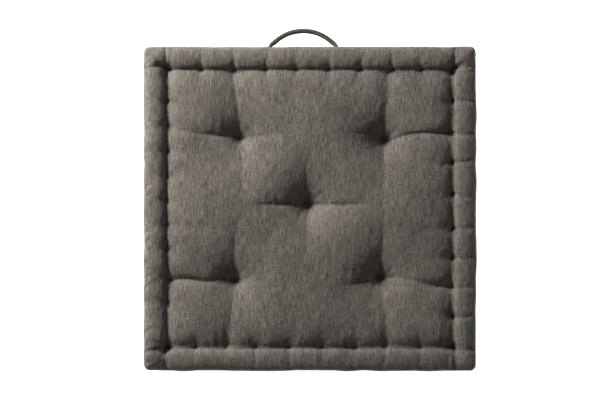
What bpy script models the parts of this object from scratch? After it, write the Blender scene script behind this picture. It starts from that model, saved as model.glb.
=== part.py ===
"""A square floor cushion, laid flat, with stitched edge rolls, five tufts and a carrying handle.

The cover is six pieces of cloth round a core pad with wadding over and under it. The back
is at +Y, where the handle is sewn on. Sizes are in metres. The origin is on the floor, under the middle
of the whole object with its handle standing out.
"""

import math

import bmesh
import bpy
from mathutils import Vector
from mathutils.geometry import delaunay_2d_cdt

# Overall sizes of the stuffed body
WIDTH = 0.610
DEPTH = 0.595
HEIGHT = 0.120
CORNER_RADIUS = 0.010

# Cloth and clearances
CLOTH = 0.0012
GAP = 0.0003
MITRE_GAP = 0.0008
FILL_ROOM = 0.0032

# The stitched roll along each edge of the top and bottom
ROLL_WIDTH = 0.042
ROLL_BULGE = 0.0150
SEAM_DROP = 0.022
SEAM_UPSTAND = 0.0028
GROOVE_DEPTH = 0.0155
FIELD_RISE = 0.014
CROWN_SPARE = 0.0015

# The boxing between the two seams, and the stitched groove that closes each roll on it
SIDE_GROOVE_DROP = 0.018
SIDE_GROOVE_INSET = 0.010
BAND_INSET = 0.004
BAND_SLOPE = 0.0055

# Tufts: where each tie comes out, measured from the middle of the body
TUFT_PLACES = {
    "back_left": (-0.1305, 0.1300),
    "back_right": (0.1369, 0.1263),
    "middle": (-0.0037, 0.0078),
    "front_left": (-0.1369, -0.1318),
    "front_right": (0.1295, -0.1272),
}
TUFT_DEPTH = 0.028
TUFT_FLAT = 0.007
TUFT_SPREAD = 0.022
TUFT_HOLE = 0.0024
TIE_RADIUS = 0.0012
TIE_BAR_LENGTH = 0.009
TIE_BAR_RADIUS = 0.0015

# Filling
CORE_DROP = 0.0215
CORE_DIP_SHARE = 0.6
CORE_RISER = 0.0035
WADDING_MARGIN = 0.006
FILLER_SIDE_ROOM = 0.004
FILLER_HALF_HEIGHT = 0.0172
FILLER_SHIFT = 0.002

# Threads that close the rolls
THREAD_RADIUS = 0.0008
THREAD_SEAT = 0.0022
THREAD_SHIFT = 0.0005
THREAD_END = 0.008

# The handle: a rolled cloth grip whose flat ends are sewn to the back boxing
HANDLE_REACH = 0.037
HANDLE_SPAN = 0.119
HANDLE_SHIFT = -0.012
GRIP_RADIUS = 0.0047
TAB_LENGTH = 0.040
TAB_WIDTH = 0.026
TAB_THICKNESS = 0.0025
TAB_INNER_OVERHANG = 0.008
TAB_STITCH_MARGIN = 0.0035
TAB_STITCH_CLEARANCE = 0.0012
TAB_STITCH_RADIUS = 0.0006

# How finely the curved shapes are cut
SIDE_STEPS = 5
HALF_CORNER_STEPS = 2
ROLL_STEPS = 6
FIELD_INSETS = (0.006, 0.018)
FIELD_STEP = 0.054
TUFT_SIDES = 8
TUFT_RINGS = (0.0, 0.009, 0.024)
FILLER_SIDES = 10
GRIP_STEPS = 20
GRIP_SIDES = 10
BALL_STEPS = 3

HALF = HEIGHT / 2
FIELD_START = ROLL_WIDTH + FIELD_INSETS[-1]
SEAM = HALF - SEAM_DROP
GROOVE = HALF - GROOVE_DEPTH
SIDE_GROOVE = SEAM - SIDE_GROOVE_DROP
CORE_HALF = HALF - CORE_DROP
CORE_EDGE = SIDE_GROOVE_INSET + 2 * CLOTH
CORE_LEDGE = SIDE_GROOVE
FILLER_HALF_WIDTH = ROLL_WIDTH / 2 - FILLER_SIDE_ROOM
FILLER_INSET = ROLL_WIDTH / 2 + FILLER_SHIFT
TAB_FACE = DEPTH / 2 - BAND_INSET + GAP + TAB_THICKNESS
HANDLE_AXIS = TAB_FACE + GAP + GRIP_RADIUS
HANDLE_RISE = DEPTH / 2 + HANDLE_REACH - GRIP_RADIUS - HANDLE_AXIS


# ---------------------------------------------------------------- shapes as formulas
def section_height(inset):
    """Height of the outer cloth over the body's middle, at this distance in from the edge."""
    if inset < ROLL_WIDTH:
        turn = math.acos(1 - 2 * inset / ROLL_WIDTH)
        foot = SEAM + SEAM_UPSTAND
        return foot + (GROOVE - foot) * inset / ROLL_WIDTH + ROLL_BULGE * math.sin(turn)
    rise = 1 - math.exp(-(inset - ROLL_WIDTH) / FIELD_RISE)
    return GROOVE + (HALF + CROWN_SPARE - GROOVE) * rise


def tuft_dip(x, y):
    """How far the ties pull the cloth in at this place."""
    dip = 0.0
    for tuft_x, tuft_y in TUFT_PLACES.values():
        away = max(math.hypot(x - tuft_x, y - tuft_y) - TUFT_FLAT, 0.0)
        dip = max(dip, TUFT_DEPTH * math.exp(-away / TUFT_SPREAD))
    return dip


def edge_distance(x, y):
    """The inset of the ring through this place."""
    past_x = abs(x) - WIDTH / 2 + CORNER_RADIUS
    past_y = abs(y) - DEPTH / 2 + CORNER_RADIUS
    if abs(past_x - past_y) >= CORNER_RADIUS:
        return max(CORNER_RADIUS - max(past_x, past_y), 0.0)
    across = math.sqrt(2 * CORNER_RADIUS**2 - (past_x - past_y) ** 2)
    return max((across - past_x - past_y) / 2, 0.0)


def cloth_height(x, y):
    crown = section_height(edge_distance(x, y)) - tuft_dip(x, y)
    return min(crown, HALF)


def side_path(inset, side, trim=0.0, steps=SIDE_STEPS):
    """Points along one side, from the middle of one corner to the middle of the next, anticlockwise.

    Side 0 is the right one, then back, left and front. trim shortens both ends.
    """
    long_half = (DEPTH if side % 2 == 0 else WIDTH) / 2 - inset - CORNER_RADIUS
    reach = (WIDTH if side % 2 == 0 else DEPTH) / 2 - inset - CORNER_RADIUS
    end = math.radians(45) - trim / CORNER_RADIUS
    turns = [end * step / HALF_CORNER_STEPS for step in range(HALF_CORNER_STEPS + 1)]
    corner = [(CORNER_RADIUS * math.sin(turn), CORNER_RADIUS * math.cos(turn)) for turn in turns]
    local = [(-long_half - along, reach + out) for along, out in reversed(corner)]
    for step in range(1, steps):
        local.append((long_half * (2 * step / steps - 1), reach + CORNER_RADIUS))
    local += [(long_half + along, reach + out) for along, out in corner]
    turn = math.radians(90 * side)
    across, up = math.cos(turn), math.sin(turn)
    return [(out * across - along * up, out * up + along * across) for along, out in local]


def ring(inset):
    """The body's rounded outline, moved in by inset, anticlockwise."""
    points = []
    for side in range(4):
        points += side_path(inset, side)[:-1]
    return points


# ---------------------------------------------------------------- meshes
def new_object(name, mesh, material, parent, location=(0, 0, 0)):
    obj = bpy.data.objects.new(name, mesh)
    bpy.context.scene.collection.objects.link(obj)
    obj.data.materials.append(material)
    obj.parent = parent
    obj.location = location
    return obj


def new_mesh(name, vertices, faces):
    mesh = bpy.data.meshes.new(name)
    mesh.from_pydata([tuple(v) for v in vertices], [], faces)
    return mesh


def closed_mesh(name, vertices, faces):
    """A mesh of one closed body, with its faces turned outwards."""
    mesh = new_mesh(name, vertices, faces)
    work = bmesh.new()
    work.from_mesh(mesh)
    bmesh.ops.recalc_face_normals(work, faces=work.faces[:])
    work.to_mesh(mesh)
    work.free()
    return mesh


def band(first, second):
    """Quads between two closed loops of point numbers."""
    count = len(first)
    return [
        (first[i], first[(i + 1) % count], second[(i + 1) % count], second[i]) for i in range(count)
    ]


def quilt_plan(insets):
    """The flat pattern of a layer with a hole at each tuft.

    It returns points, faces, the outer loop and the hole loops. Rings at the insets come first, and
    triangles fill the field inside the last ring.
    """
    points, faces, loops = [], [], []
    for inset in insets:
        start = len(points)
        points += ring(inset)
        loops.append(list(range(start, len(points))))
    for outer, inner in zip(loops, loops[1:]):
        faces += band(outer, inner)

    last = loops[-1]
    spots = [points[i] for i in last]
    edges = [(i, (i + 1) % len(spots)) for i in range(len(spots))]
    holes = []
    for tuft_x, tuft_y in TUFT_PLACES.values():
        radii = [TUFT_HOLE] + [TUFT_FLAT + extra for extra in TUFT_RINGS]
        for radius in radii:
            start = len(spots)
            for step in range(TUFT_SIDES):
                turn = math.tau * step / TUFT_SIDES
                spots.append((tuft_x + radius * math.cos(turn), tuft_y + radius * math.sin(turn)))
            loop = list(range(start, len(spots)))
            edges += [(loop[i], loop[(i + 1) % TUFT_SIDES]) for i in range(TUFT_SIDES)]
            if radius == TUFT_HOLE:
                holes.append(loop)
    field_x = WIDTH / 2 - insets[-1] - FIELD_STEP / 2
    field_y = DEPTH / 2 - insets[-1] - FIELD_STEP / 2
    columns = round(2 * field_x / FIELD_STEP)
    rows = round(2 * field_y / FIELD_STEP)
    keep_out = TUFT_FLAT + TUFT_RINGS[-1] + FIELD_STEP / 3
    for column in range(columns + 1):
        for row in range(rows + 1):
            x = field_x * (2 * column / columns - 1)
            y = field_y * (2 * row / rows - 1)
            places = TUFT_PLACES.values()
            if all(math.hypot(x - tuft_x, y - tuft_y) > keep_out for tuft_x, tuft_y in places):
                spots.append((x, y))

    found = delaunay_2d_cdt([Vector(spot) for spot in spots], edges, [], 0, 1e-7)
    triangles = found[2]
    numbers = last + [len(points) + i for i in range(len(spots) - len(last))]
    points += spots[len(last):]
    for triangle in triangles:
        middle_x = sum(spots[i][0] for i in triangle) / 3
        middle_y = sum(spots[i][1] for i in triangle) / 3
        places = TUFT_PLACES.values()
        if all(math.hypot(middle_x - x, middle_y - y) > TUFT_HOLE for x, y in places):
            faces.append(tuple(numbers[i] for i in triangle))
    return points, faces, loops[0], [[numbers[i] for i in hole] for hole in holes]


def layer_mesh(name, insets, upper, lower):
    """A closed layer between two heights, each a function of x and y, pierced at the tufts."""
    points, faces, outline, holes = quilt_plan(insets)
    count = len(points)
    vertices = [(x, y, upper(x, y)) for x, y in points]
    vertices += [(x, y, lower(x, y)) for x, y in points]
    under = [tuple(count + i for i in reversed(face)) for face in faces]
    walls = []
    for loop in [outline] + holes:
        walls += band(loop, [count + i for i in loop])
    return closed_mesh(name, vertices, faces + under + walls)


def tube_mesh(name, path, radii, sides):
    """A tube of the given radius at each point of its path, closed at both ends."""
    vertices, loops = [], []
    path = [Vector(point) for point in path]
    for i, point in enumerate(path):
        ahead = (path[min(i + 1, len(path) - 1)] - path[max(i - 1, 0)]).normalized()
        sideways = ahead.cross(Vector((0, 0, 1)) if abs(ahead.z) < 0.9 else Vector((0, 1, 0)))
        sideways.normalize()
        upwards = sideways.cross(ahead)
        start = len(vertices)
        for step in range(sides):
            turn = math.tau * step / sides
            around = sideways * math.cos(turn) + upwards * math.sin(turn)
            vertices.append(point + around * radii[i])
        loops.append(list(range(start, len(vertices))))
    faces = [tuple(reversed(loops[0])), tuple(loops[-1])]
    for first, second in zip(loops, loops[1:]):
        faces += band(first, second)
    return closed_mesh(name, vertices, faces)


def border_mesh(name, span_x, span_z):
    """A closed rectangle of square thread, standing in the plane of X and Z."""
    vertices, loops = [], []
    for out, away in ((1, -1), (1, 1), (-1, 1), (-1, -1)):
        more, depth = out * TAB_STITCH_RADIUS, away * TAB_STITCH_RADIUS
        left, right = span_x[0] - more, span_x[1] + more
        low, high = span_z[0] - more, span_z[1] + more
        start = len(vertices)
        vertices += [(left, depth, low), (right, depth, low), (right, depth, high), (left, depth, high)]
        loops.append(list(range(start, start + 4)))
    faces = []
    for first, second in zip(loops, loops[1:] + loops[:1]):
        faces += band(first, second)
    return closed_mesh(name, vertices, faces)


def add_modifier(obj, kind, **settings):
    modifier = obj.modifiers.new(kind.title(), kind)
    for key, value in settings.items():
        setattr(modifier, key, value)
    return modifier


def join_on(obj, others):
    """Unites obj with helper objects, which the model itself leaves out."""
    for other in others:
        other.hide_render = True
        other.display_type = "WIRE"
        add_modifier(obj, "BOOLEAN", operation="UNION", object=other, solver="EXACT")


def material(name, colour, roughness):
    made = bpy.data.materials.new(name)
    made.use_nodes = True
    shader = made.node_tree.nodes["Principled BSDF"]
    shader.inputs["Base Color"].default_value = (*colour, 1)
    shader.inputs["Roughness"].default_value = roughness
    shader.inputs["Metallic"].default_value = 0
    return made


# ---------------------------------------------------------------- the pieces
def make_panel(name, side, cloth, frame):
    """The top (side 1) or bottom (side -1) cover panel, from its edge seam to its tufts."""
    roll = [ROLL_WIDTH * (1 - math.cos(math.pi * i / ROLL_STEPS)) / 2 for i in range(ROLL_STEPS + 1)]
    insets = [0.0] + roll + [ROLL_WIDTH + more for more in FIELD_INSETS]
    points, faces, outline, _ = quilt_plan(insets)
    vertices = [(x, y, side * cloth_height(x, y)) for x, y in points]
    for i in outline:
        vertices[i] = (*points[i], side * (SEAM + GAP / 2))
    if side < 0:
        faces = [tuple(reversed(face)) for face in faces]
    panel = new_object(name, new_mesh(name, vertices, faces), cloth, frame)
    add_modifier(panel, "SOLIDIFY", thickness=CLOTH, offset=-1, use_even_offset=True)


def boxing_section():
    """(inset, height) down the boxing, from the top seam to the bottom one."""
    start = SEAM - GAP / 2
    upper = [
        (0.0, start),
        (0.0, SEAM - SEAM_UPSTAND),
        (0.15 * SIDE_GROOVE_INSET, SEAM - 0.40 * SIDE_GROOVE_DROP),
        (0.50 * SIDE_GROOVE_INSET, SEAM - 0.68 * SIDE_GROOVE_DROP),
        (SIDE_GROOVE_INSET, SIDE_GROOVE),
        ((SIDE_GROOVE_INSET + BAND_INSET) / 2.5, SIDE_GROOVE - 0.6 * BAND_SLOPE),
        (BAND_INSET, SIDE_GROOVE - BAND_SLOPE),
    ]
    return upper + [(inset, -height) for inset, height in reversed(upper)]


def make_boxing(name, side, cloth, frame):
    """One side strip, mitred at the middle of both its corners."""
    vertices, rows = [], []
    for inset, height in boxing_section():
        start = len(vertices)
        path = side_path(inset, side, MITRE_GAP, steps=4)
        vertices += [(x, y, height) for x, y in path]
        rows.append(range(start, len(vertices)))
    faces = []
    for above, below in zip(rows, rows[1:]):
        for i in range(len(above) - 1):
            faces.append((below[i], below[i + 1], above[i + 1], above[i]))
    strip = new_object(name, new_mesh(name, vertices, faces), cloth, frame)
    add_modifier(strip, "SOLIDIFY", thickness=CLOTH, offset=-1, use_even_offset=True)


def core_height(x, y):
    """Height of the core pad's upper face, which has a low ledge under the rolls."""
    if edge_distance(x, y) < ROLL_WIDTH + CORE_RISER / 2:
        return CORE_LEDGE
    return CORE_HALF - CORE_DIP_SHARE * tuft_dip(x, y)


def make_core(name, felt, frame):
    insets = [CORE_EDGE, ROLL_WIDTH, ROLL_WIDTH + CORE_RISER, FIELD_START]
    mesh = layer_mesh(name, insets, core_height, lambda x, y: -core_height(x, y))
    new_object(name, mesh, felt, frame)


def make_wadding(name, side, wadding, frame):
    """The soft layer between the core pad and a cover panel."""
    insets = [ROLL_WIDTH + WADDING_MARGIN, ROLL_WIDTH + FIELD_INSETS[-1] / 1.5, FIELD_START]

    def outer(x, y):
        return side * (cloth_height(x, y) - FILL_ROOM)

    def inner(x, y):
        return side * (CORE_HALF - CORE_DIP_SHARE * tuft_dip(x, y) + GAP)

    new_object(name, layer_mesh(name, insets, outer, inner), wadding, frame)


def make_roll_filler(name, side, wadding, frame):
    """The rope of fibre inside the edge roll, all the way round, resting on the core's ledge."""
    middle = CORE_LEDGE + GAP + FILLER_HALF_HEIGHT
    vertices, loops = [], []
    for step in range(FILLER_SIDES):
        turn = math.tau * (step + 0.5) / FILLER_SIDES
        flat = math.cos(math.pi / FILLER_SIDES)
        inset = FILLER_INSET + FILLER_HALF_WIDTH * math.sin(turn) / flat
        height = middle + FILLER_HALF_HEIGHT * math.cos(turn) / flat
        start = len(vertices)
        vertices += [(x, y, side * height) for x, y in ring(inset)]
        loops.append(list(range(start, len(vertices))))
    faces = []
    for first, second in zip(loops, loops[1:] + loops[:1]):
        faces += band(first, second)
    new_object(name, closed_mesh(name, vertices, faces), wadding, frame)


def make_tie(name, place, thread, frame):
    """One tuft tie: twine through the whole cushion with a bar stitch at each end."""
    bar_height = cloth_height(*place) + GAP + TIE_BAR_RADIUS
    path = [(0, 0, -bar_height), (0, 0, bar_height)]
    twine = new_object(name, tube_mesh(name, path, [TIE_RADIUS] * 2, 8), thread, frame, (*place, 0))
    bars = []
    for end, height in (("top", bar_height), ("bottom", -bar_height)):
        path = [(-TIE_BAR_LENGTH / 2, 0, 0), (TIE_BAR_LENGTH / 2, 0, 0)]
        mesh = tube_mesh(f"{name}_{end}_bar", path, [TIE_BAR_RADIUS] * 2, 6)
        bars.append(new_object(mesh.name, mesh, thread, frame, (*place, height)))
    join_on(twine, bars)


def make_roll_thread(name, side, face, thread, frame):
    """The stitching line in the groove beside one roll."""
    path = side_path(ROLL_WIDTH + THREAD_SHIFT, side)
    first, last = Vector(path[HALF_CORNER_STEPS]), Vector(path[-1 - HALF_CORNER_STEPS])
    along = (last - first).normalized()
    height = face * (GROOVE + THREAD_SEAT)
    ends = [first + along * THREAD_END, last - along * THREAD_END]
    path = [(x, y, height) for x, y in ends]
    new_object(name, tube_mesh(name, path, [THREAD_RADIUS] * 2, 8), thread, frame)


def make_handle_loop(name, cloth, frame):
    """The grip, an arc with a ball at each end, centred on the axis that it swings about."""
    half_span = HANDLE_SPAN / 2
    radius = (half_span**2 + HANDLE_RISE**2) / (2 * HANDLE_RISE)
    sweep = math.asin(half_span / radius)
    path, radii = [], []
    for step in range(BALL_STEPS):
        turn = math.pi / 2 * (step + 0.35) / BALL_STEPS
        path.append(sweep + GRIP_RADIUS * math.cos(turn) / radius)
        radii.append(GRIP_RADIUS * math.sin(turn))
    for step in range(GRIP_STEPS + 1):
        path.append(sweep * (1 - 2 * step / GRIP_STEPS))
        radii.append(GRIP_RADIUS)
    for step in reversed(range(BALL_STEPS)):
        path.append(-path[step])
        radii.append(radii[step])
    centre = HANDLE_RISE - radius
    points = [(radius * math.sin(turn), centre + radius * math.cos(turn), 0) for turn in path]
    mesh = tube_mesh(name, points, radii, GRIP_SIDES)
    new_object(name, mesh, cloth, frame, (HANDLE_SHIFT, HANDLE_AXIS, 0))


def make_handle_tab(side_name, direction, cloth, thread, frame):
    """A flat sewn end of the handle, and the boxed cross of stitching over it."""
    middle = direction * (HANDLE_SPAN / 2 - TAB_INNER_OVERHANG + TAB_LENGTH / 2)
    work = bmesh.new()
    bmesh.ops.create_cube(work, size=1)
    bmesh.ops.scale(work, vec=(TAB_LENGTH, TAB_THICKNESS, TAB_WIDTH), verts=work.verts)
    upright = [e for e in work.edges if abs((e.verts[0].co - e.verts[1].co).y) > TAB_THICKNESS / 2]
    bmesh.ops.bevel(work, geom=upright, offset=0.003, segments=2, affect="EDGES", profile=0.5)
    mesh = bpy.data.meshes.new(f"handle_tab_{side_name}")
    work.to_mesh(mesh)
    work.free()
    place = (HANDLE_SHIFT + middle, TAB_FACE - TAB_THICKNESS / 2, 0)
    new_object(mesh.name, mesh, cloth, frame, place)

    inner = direction * (HANDLE_SPAN / 2 + GRIP_RADIUS + TAB_STITCH_CLEARANCE)
    outer = middle + direction * (TAB_LENGTH / 2 - TAB_STITCH_MARGIN)
    high = TAB_WIDTH / 2 - TAB_STITCH_MARGIN
    name = f"handle_stitch_{side_name}"
    depth = TAB_FACE + GAP + TAB_STITCH_RADIUS
    mesh = border_mesh(name, sorted((inner, outer)), (-high, high))
    border = new_object(name, mesh, thread, frame, (HANDLE_SHIFT, depth, 0))
    crosses = []
    for number, share in enumerate((0.95, 0.85)):
        path = [(inner, 0, high - 2 * high * number), (outer, 0, 2 * high * number - high)]
        mesh = tube_mesh(f"{name}_cross_{number}", path, [TAB_STITCH_RADIUS * share] * 2, 6)
        crosses.append(new_object(mesh.name, mesh, thread, frame, (HANDLE_SHIFT, depth, 0)))
    join_on(border, crosses)


def main():
    for obj in list(bpy.data.objects):
        bpy.data.objects.remove(obj, do_unlink=True)

    linen = material("washed_linen", (0.160, 0.144, 0.126), 0.95)
    tape = material("handle_linen", (0.062, 0.061, 0.054), 0.9)
    thread = material("waxed_thread", (0.090, 0.085, 0.077), 0.7)
    wadding = material("fibre_wadding", (0.72, 0.70, 0.65), 1.0)
    felt = material("cotton_felt", (0.55, 0.51, 0.44), 1.0)

    frame = bpy.data.objects.new("cushion_middle", None)
    bpy.context.scene.collection.objects.link(frame)
    frame.location = (0, -HANDLE_REACH / 2, HALF)

    for face_name, face in (("top", 1), ("bottom", -1)):
        make_panel(f"{face_name}_panel", face, linen, frame)
        make_wadding(f"{face_name}_wadding", face, wadding, frame)
        make_roll_filler(f"{face_name}_roll_filler", face, wadding, frame)
    for side, side_name in enumerate(("right", "back", "left", "front")):
        make_boxing(f"{side_name}_boxing", side, linen, frame)
        for face_name, face in (("top", 1), ("bottom", -1)):
            make_roll_thread(f"{face_name}_roll_thread_{side_name}", side, face, thread, frame)
    make_core("core_pad", felt, frame)
    for tuft_name, place in TUFT_PLACES.items():
        make_tie(f"tuft_tie_{tuft_name}", place, thread, frame)
    make_handle_loop("handle_loop", tape, frame)
    for side_name, direction in (("left", -1), ("right", 1)):
        make_handle_tab(side_name, direction, tape, thread, frame)


main()
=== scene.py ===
import math

import bmesh
import bpy
import numpy as np
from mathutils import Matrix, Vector
from mathutils.bvhtree import BVHTree


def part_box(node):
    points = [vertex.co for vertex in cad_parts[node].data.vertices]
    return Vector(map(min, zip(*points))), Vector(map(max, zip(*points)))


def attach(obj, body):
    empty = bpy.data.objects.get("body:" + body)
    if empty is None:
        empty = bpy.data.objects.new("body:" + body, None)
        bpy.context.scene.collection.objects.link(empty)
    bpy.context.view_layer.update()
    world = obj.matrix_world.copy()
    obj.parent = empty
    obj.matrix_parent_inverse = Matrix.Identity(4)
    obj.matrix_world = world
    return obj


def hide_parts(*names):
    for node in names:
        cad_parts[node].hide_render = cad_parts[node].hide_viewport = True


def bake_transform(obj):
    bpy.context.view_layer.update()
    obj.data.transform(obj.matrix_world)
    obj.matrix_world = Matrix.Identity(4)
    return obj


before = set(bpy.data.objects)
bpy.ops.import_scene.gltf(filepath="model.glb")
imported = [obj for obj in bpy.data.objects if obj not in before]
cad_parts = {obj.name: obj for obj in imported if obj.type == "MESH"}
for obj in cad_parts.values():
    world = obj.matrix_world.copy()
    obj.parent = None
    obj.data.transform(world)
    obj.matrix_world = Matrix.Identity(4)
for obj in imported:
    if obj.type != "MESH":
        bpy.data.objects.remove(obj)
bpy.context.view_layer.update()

SCENE = bpy.context.scene
FACES = {"top": 1, "bottom": -1}
SIDES = ("right", "back", "left", "front")
SIGNS = {"right": 1, "back": 1, "left": -1, "front": -1}
TUFTS = ("back_left", "back_right", "middle", "front_left", "front_right")

# The stuffed body, read from the frame
panel_low, panel_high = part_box("top_panel")
floor_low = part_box("bottom_panel")[0]
MIDDLE = np.array([
    (panel_low.x + panel_high.x) / 2, (panel_low.y + panel_high.y) / 2, (floor_low.z + panel_high.z) / 2
])
HALF_WIDTH = (panel_high.x - panel_low.x) / 2
HALF_DEPTH = (panel_high.y - panel_low.y) / 2
HALF = (panel_high.z - floor_low.z) / 2

# The section of the roll and the side, as the frame has it
SEAM = HALF - 0.022
SEAM_INSET = 0.0012
SEAM_UPSTAND = 0.0028
GROOVE = HALF - 0.0155
GROOVE_INSET = 0.042
ROLL_BULGE = 0.0155
CROWN = HALF + 0.0048
CORNER = 0.01
SIDE_GROOVE = SEAM - 0.018
SIDE_GROOVE_INSET = 0.01

# How far a roll's shape turns into the next side's at a corner, how far the folds over a roll run, half the
# length of a stitch, and how far the core stays under the cloth
CORNER_BLEND = 0.03
ROLL_FOLD = 0.041
HALF_STITCH = 0.0036
CORE_DROP = 0.006

# The underside starts to flatten this high above the floor, and is pressed by at most this
FLOOR_BAND = 0.0035
FLOOR_PRESS = 0.0033

# How creases and tufts add up where they meet, and the most that they pull the cloth in
MEETING = 1.9
DEEPEST = 0.056

# Where the rolls are stitched down, along each side from the middle of the body
STITCHES = {
    "back": (-0.2572, -0.2012, -0.1415, -0.0808, -0.0257, 0.0331, 0.0928, 0.1507, 0.2039, 0.26),
    "front": (-0.258, -0.2104, -0.1562, -0.1001, -0.0386, 0.022, 0.0816, 0.1367, 0.2003, 0.2535),
    "right": (0.248, 0.1961, 0.1373, 0.0841, 0.0271, -0.0354, -0.0905, -0.1432, -0.1983, -0.249),
    "left": (0.244, 0.196, 0.15, 0.104, 0.06, 0.014, -0.03, -0.076, -0.129, -0.172, -0.248),
}

# How hard each side's stitches gather the cloth
PUCKERS = {"right": 1.0, "back": 0.75, "left": 0.55, "front": 0.65}

# How the cloth settles over the filling
CLOTH_SCALE = 10
SETTLING_FRAMES = 24
SETTLING_CAP = 0.006
CLOTH_SETTINGS = {
    "quality": 5, "mass": 0.06, "air_damping": 1.5, "tension_stiffness": 14, "compression_stiffness": 14,
    "shear_stiffness": 5, "bending_stiffness": 0.5, "use_pressure": True, "uniform_pressure_force": 10.0,
    "vertex_group_mass": "hold", "pin_stiffness": 0.8, "vertex_group_shrink": "slack", "shrink_min": 0.0,
    "shrink_max": -0.07,
}

# The camera's height over the level that it frames, the share of the view's width that the body fills
# there, and how far the camera stands from the middle
VIEW_HEIGHT = 3.0
VIEW_LEVEL = 0.045
BODY_SHARE = 0.55583
VIEW_SHIFT = (-0.01829, 0.016)

# The long creases from tuft to tuft and out to the rolls. Each place has its x and y, and the crease's
# depth and reach there, all in millimetres
CREASES = [
    ((-128.6, 132.7, 11, 10), (-169, 136.2, 7.8, 10), (-215, 142, 4, 10), (-263, 145, 3, 9)),
    ((-145, 125, 0, 6), (-180, 127, 3, 6), (-215, 133, 0, 6)),
    ((-128.6, 132.7, 8, 10), (-90, 134, 4.5, 9), (-57, 137.3, 2.5, 9), (-20, 138, 0, 9)),
    ((-128.6, 132.7, 10, 12), (-132.3, 186.9, 8.5, 13), (-138, 220, 7.5, 13), (-143.3, 254, 7, 11)),
    ((-128.6, 132.7, 11, 12), (-126.8, 70, 6.5, 13), (-128, 10, 2.2, 14), (-138, -57.4, 7.5, 13),
     (-138, -131.8, 11, 12)),
    ((137.8, 127, 10, 10), (175, 133, 8, 9), (222.3, 139, 7.5, 9), (264, 137.3, 7, 9)),
    ((137.8, 127, 9, 10), (95.5, 139.2, 4.5, 9), (60, 140, 0, 9)),
    ((137.8, 127, 10, 13), (140, 180, 8.5, 15), (145.1, 250, 7, 12)),
    ((137.8, 127, 11, 12), (134.5, 70, 6.8, 12), (135, 10, 3, 12), (132, -57.4, 8.2, 11),
     (129.5, -127.2, 11, 11)),
    ((-3.7, 7.8, 13, 10), (-42, 7, 8, 9), (-88.2, 5.1, 4.5, 9), (-115, 6, 0, 9)),
    ((-3.7, 7.8, 13, 10), (40, 8.5, 8, 9), (91.9, 8.7, 4.5, 9), (120, 10, 0, 9)),
    ((-3.7, 7.8, 13, 11), (-5, 40, 8.5, 11), (-6.1, 78.5, 5, 11), (-6, 115, 0, 11)),
    ((-3.7, 7.8, 13, 11), (-5, -30, 7.5, 11), (-6.1, -75.8, 3.5, 11), (-6, -105, 0, 11)),
    ((-138, -131.8, 11, 9), (-164, -127, 8.5, 8), (-190, -132.5, 8, 8), (-222, -128, 7.5, 8),
     (-262, -131, 7, 8)),
    ((-138, -131.8, 8, 10), (-112.1, -132, 4, 10), (-75, -130, 0, 10)),
    ((-138, -131.8, 10, 12), (-141.5, -165, 8, 12), (-147, -210, 7.5, 12), (-153, -254, 7, 11)),
    ((129.5, -127.2, 10, 10), (83.6, -136.4, 5, 9), (48, -138, 0, 9)),
    ((129.5, -127.2, 10, 12), (157.1, -122.6, 6.5, 12), (190, -133, 4, 10), (222.3, -141, 5.5, 9),
     (264.6, -141, 6, 9)),
    ((129.5, -127.2, 10, 12), (134, -170, 8, 12), (139, -210, 7, 12), (140.9, -254, 7, 11)),
]


# Numbers
def soft_noise(x, y, size, seed):
    """Smooth numbers from -1 to 1 that change over about this size."""
    table = np.random.default_rng(seed).uniform(-1, 1, (64, 64))
    u, v = np.asarray(x) / size + 31.7, np.asarray(y) / size + 17.3
    i, j = np.floor(u).astype(int), np.floor(v).astype(int)
    p, q = u - i, v - j
    p, q = p * p * (3 - 2 * p), q * q * (3 - 2 * q)
    low = table[i % 64, j % 64] * (1 - p) + table[(i + 1) % 64, j % 64] * p
    high = table[i % 64, (j + 1) % 64] * (1 - p) + table[(i + 1) % 64, (j + 1) % 64] * p
    return low * (1 - q) + high * q


def wandered(x, y, slow_seed, quick_seed, size, amount):
    """Places moved a little, so that folds along straight lines come out uneven."""
    moved = []
    for k, value in ((0, x), (2, y)):
        slow = 0.003 * soft_noise(x, y, 0.045, slow_seed + k)
        moved.append(value + slow + amount * soft_noise(x, y, size, quick_seed + k + 1))
    return moved


def smooth(low, high, value):
    t = np.clip((value - low) / (high - low), 0, 1)
    return t * t * (3 - 2 * t)


def from_edge(x, y):
    return np.minimum(HALF_WIDTH - np.abs(x), HALF_DEPTH - np.abs(y))


def line_dip(x, y, places, depths, reaches):
    """How deep a crease along these places pulls the cloth in."""
    dip = np.zeros_like(x)
    for k in range(len(places) - 1):
        a, b = np.array(places[k]), np.array(places[k + 1])
        along = b - a
        t = np.clip(((x - a[0]) * along[0] + (y - a[1]) * along[1]) / (along @ along), 0, 1)
        away = np.hypot(x - a[0] - t * along[0], y - a[1] - t * along[1])
        depth = depths[k] + (depths[k + 1] - depths[k]) * t
        reach = reaches[k] + (reaches[k + 1] - reaches[k]) * t
        dip = np.maximum(dip, depth * np.exp(-away / reach))
    return dip


def edge_places(face_name):
    """Every place where the roll is stitched: the place, the direction along the side, and the way out."""
    found = []
    for side in SIDES:
        places = STITCHES[side]
        if face_name == "bottom":
            places = [p * 0.985 + 0.004 * math.sin(40 * p) for p in places]
        sign = SIGNS[side]
        for p in places:
            if side in ("right", "left"):
                found.append((side, (sign * (HALF_WIDTH - GROOVE_INSET), p), (0, 1), (sign, 0)))
            else:
                found.append((side, (p, sign * (HALF_DEPTH - GROOVE_INSET)), (1, 0), (0, sign)))
    return found


def from_stitch(place, x, y):
    """How far along the side and how far out each point lies from a stitch."""
    _, (px, py), (ax, ay), (nx, ny) = place
    return (x - px) * ax + (y - py) * ay, (x - px) * nx + (y - py) * ny


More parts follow.
